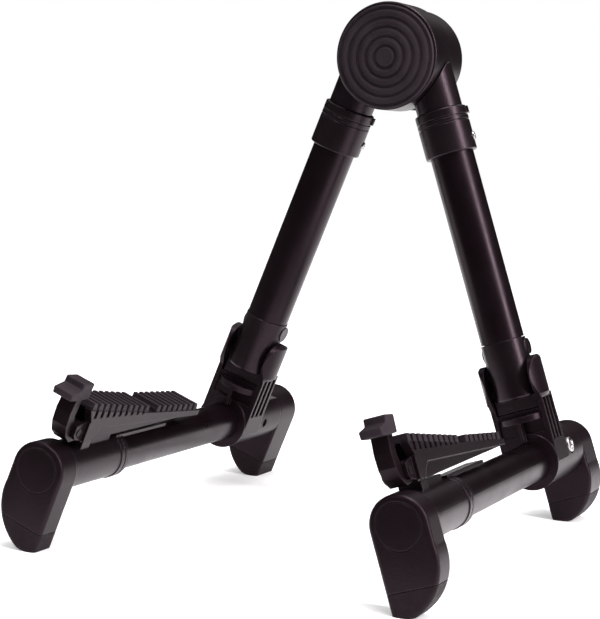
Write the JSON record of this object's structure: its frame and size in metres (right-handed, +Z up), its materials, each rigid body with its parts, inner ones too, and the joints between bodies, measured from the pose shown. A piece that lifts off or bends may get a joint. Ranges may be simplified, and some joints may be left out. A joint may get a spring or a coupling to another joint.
{
  "type": "folding instrument stand",
  "caption": "Folding A-frame floor stand for a stringed instrument: round pivot hub, tube legs, foot bars with sloping ribbed cradle arms and flip-up retaining hooks.",
  "frame": {"origin": "on the floor, under the middle of the open stand's bounding box", "axes": "+X to the stand's right seen from the front, +Y to the back, +Z up; the hub pivots about +Y"},
  "size_m": [0.2394, 0.2807, 0.2962],
  "materials": {
    "black_gloss_tube": "gloss",
    "black_moulding": "satin, fine moulded grain",
    "hub_moulding": "semi-gloss",
    "soft_rubber": "matte",
    "sole_rubber": "matte",
    "zinc_screw": "satin",
    "dark_steel": "blackened"
  },
  "bodies": {
    "left_leg": {"hub_front_knuckle": "hub_moulding", "hub_front_pad": "soft_rubber", "hub_pivot_bolt": "dark_steel", "hub_washer": "dark_steel", "left_leg_tube": "black_gloss_tube", "left_leg_collar": "hub_moulding", "left_leg_collar_screw": "zinc_screw", "left_leg_end_fitting": "hub_moulding"},
    "right_leg": {"hub_rear_knuckle": "hub_moulding", "hub_pivot_nut": "dark_steel", "hub_rear_cap": "hub_moulding", "right_leg_tube": "black_gloss_tube", "right_leg_collar": "hub_moulding", "right_leg_collar_screw": "zinc_screw", "right_leg_end_fitting": "hub_moulding"},
    "left_base": {"left_clevis_block": "black_moulding", "left_clevis_pin": "dark_steel", "left_bar_tube": "black_gloss_tube", "left_bar_cross_bolt": "zinc_screw", "left_rear_foot": "black_moulding", "left_rear_sole": "sole_rubber"},
    "left_front_end": {"left_front_sleeve": "hub_moulding", "left_front_foot": "black_moulding", "left_front_sole": "sole_rubber", "left_support_arm": "black_moulding", "left_arm_pad_front": "soft_rubber", "left_arm_pad_rear": "soft_rubber", "left_hook_pin": "dark_steel"},
    "left_hook": {"left_arm_hook": "black_moulding", "left_hook_tip": "soft_rubber"},
    "right_base": {"right_clevis_block": "black_moulding", "right_clevis_pin": "dark_steel", "right_bar_tube": "black_gloss_tube", "right_bar_cross_bolt": "zinc_screw", "right_rear_foot": "black_moulding", "right_rear_sole": "sole_rubber"},
    "right_front_end": {"right_front_sleeve": "hub_moulding", "right_front_foot": "black_moulding", "right_front_sole": "sole_rubber", "right_support_arm": "black_moulding", "right_arm_pad_front": "soft_rubber", "right_arm_pad_rear": "soft_rubber", "right_hook_pin": "dark_steel"},
    "right_hook": {"right_arm_hook": "black_moulding", "right_hook_tip": "soft_rubber"}
  },
  "joints": [
    {"name": "hub_fold", "type": "hinge", "parent": "left_leg", "child": "right_leg", "pos_m": [0, 0.0724, 0.26555], "axis": [0, 1, 0], "range_deg": [0, 38]},
    {"name": "left_base_fold", "type": "hinge", "parent": "left_leg", "child": "left_base", "pos_m": [-0.08245, 0.0724, 0.08581], "axis": [-0.9397, 0, 0.342], "range_deg": [0, 80]},
    {"name": "left_front_slide", "type": "slide", "parent": "left_base", "child": "left_front_end", "axis": [0, 1, 0], "range_m": [0, 0.028]},
    {"name": "left_hook_fold", "type": "hinge", "parent": "left_front_end", "child": "left_hook", "pos_m": [-0.09042, -0.1216, 0.06391], "axis": [0.9397, 0, -0.342], "range_deg": [0, 40]},
    {"name": "right_base_fold", "type": "hinge", "parent": "right_leg", "child": "right_base", "pos_m": [0.08245, 0.0724, 0.08581], "axis": [-0.9397, 0, -0.342], "range_deg": [0, 80]},
    {"name": "right_front_slide", "type": "slide", "parent": "right_base", "child": "right_front_end", "axis": [0, 1, 0], "range_m": [0, 0.028]},
    {"name": "right_hook_fold", "type": "hinge", "parent": "right_front_end", "child": "right_hook", "pos_m": [0.09042, -0.1216, 0.06391], "axis": [0.9397, 0, 0.342], "range_deg": [0, 40]}
  ]
}
